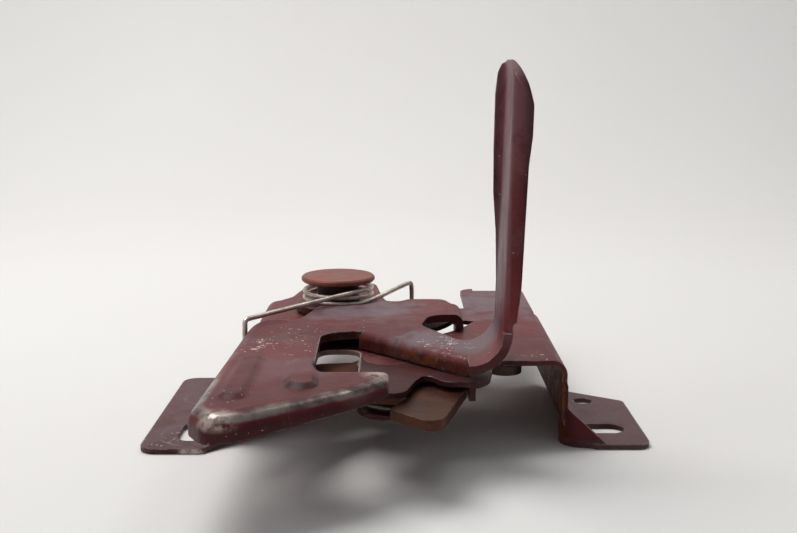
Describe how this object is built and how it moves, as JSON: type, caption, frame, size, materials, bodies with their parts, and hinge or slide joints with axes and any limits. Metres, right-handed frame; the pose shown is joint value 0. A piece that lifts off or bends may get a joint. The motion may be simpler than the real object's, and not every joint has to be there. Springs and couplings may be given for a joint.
{
  "type": "bonnet latch",
  "caption": "Folded steel bonnet latch on two slotted feet, with a hooked safety lever and handle, coil torsion springs, a swinging claw and a release pawl.",
  "frame": {"origin": "on the seat plane under the feet, midway between the feet and near the middle of their fixing rows", "axes": "+Z off the seat towards the handle, +Y the way the striker moves in, +X across to the foot with the locating hole"},
  "size_m": [0.1575, 0.2021, 0.1181],
  "materials": {
    "dark_paint": "worn dark burgundy paint with chips",
    "rivet_steel": "dull brown-grey steel",
    "spring_wire": "plated spring wire",
    "bare_steel": "bare oiled steel",
    "washer_steel": "plain steel"
  },
  "bodies": {
    "base": {"base_plate": "dark_paint", "lever_rivet": "rivet_steel", "lever_washer": "washer_steel", "spring_collar": "rivet_steel", "lever_spring": "spring_wire", "claw_rivet": "rivet_steel", "claw_washer": "washer_steel", "claw_spring": "spring_wire", "pawl_rivet": "rivet_steel", "pawl_washer": "washer_steel", "pawl_spring": "spring_wire"},
    "lever": {"safety_lever": "dark_paint"},
    "claw_body": {"claw": "bare_steel"},
    "pawl_body": {"pawl": "bare_steel"}
  },
  "joints": [
    {"name": "lever_swing", "type": "hinge", "parent": "base", "child": "lever", "pos_m": [-0.0223, 0.0405, 0.03], "axis": [0, 0, 1], "range_deg": [-15, 0], "stiffness_Nm_per_rad": 0.6, "springref_deg": 28.65, "deforming": ["lever_spring"]},
    {"name": "claw_swing", "type": "hinge", "parent": "base", "child": "claw_body", "pos_m": [-0.003, -0.028, 0.021], "axis": [0, 0, 1], "range_deg": [-60, 0], "stiffness_Nm_per_rad": 0.4, "springref_deg": 28.65, "deforming": ["claw_spring"]},
    {"name": "pawl_swing", "type": "hinge", "parent": "base", "child": "pawl_body", "pos_m": [0.022, -0.003, 0.021], "axis": [0, 0, 1], "range_deg": [0, 16], "stiffness_Nm_per_rad": 0.25, "springref_deg": -22.92, "deforming": ["pawl_spring"]}
  ]
}
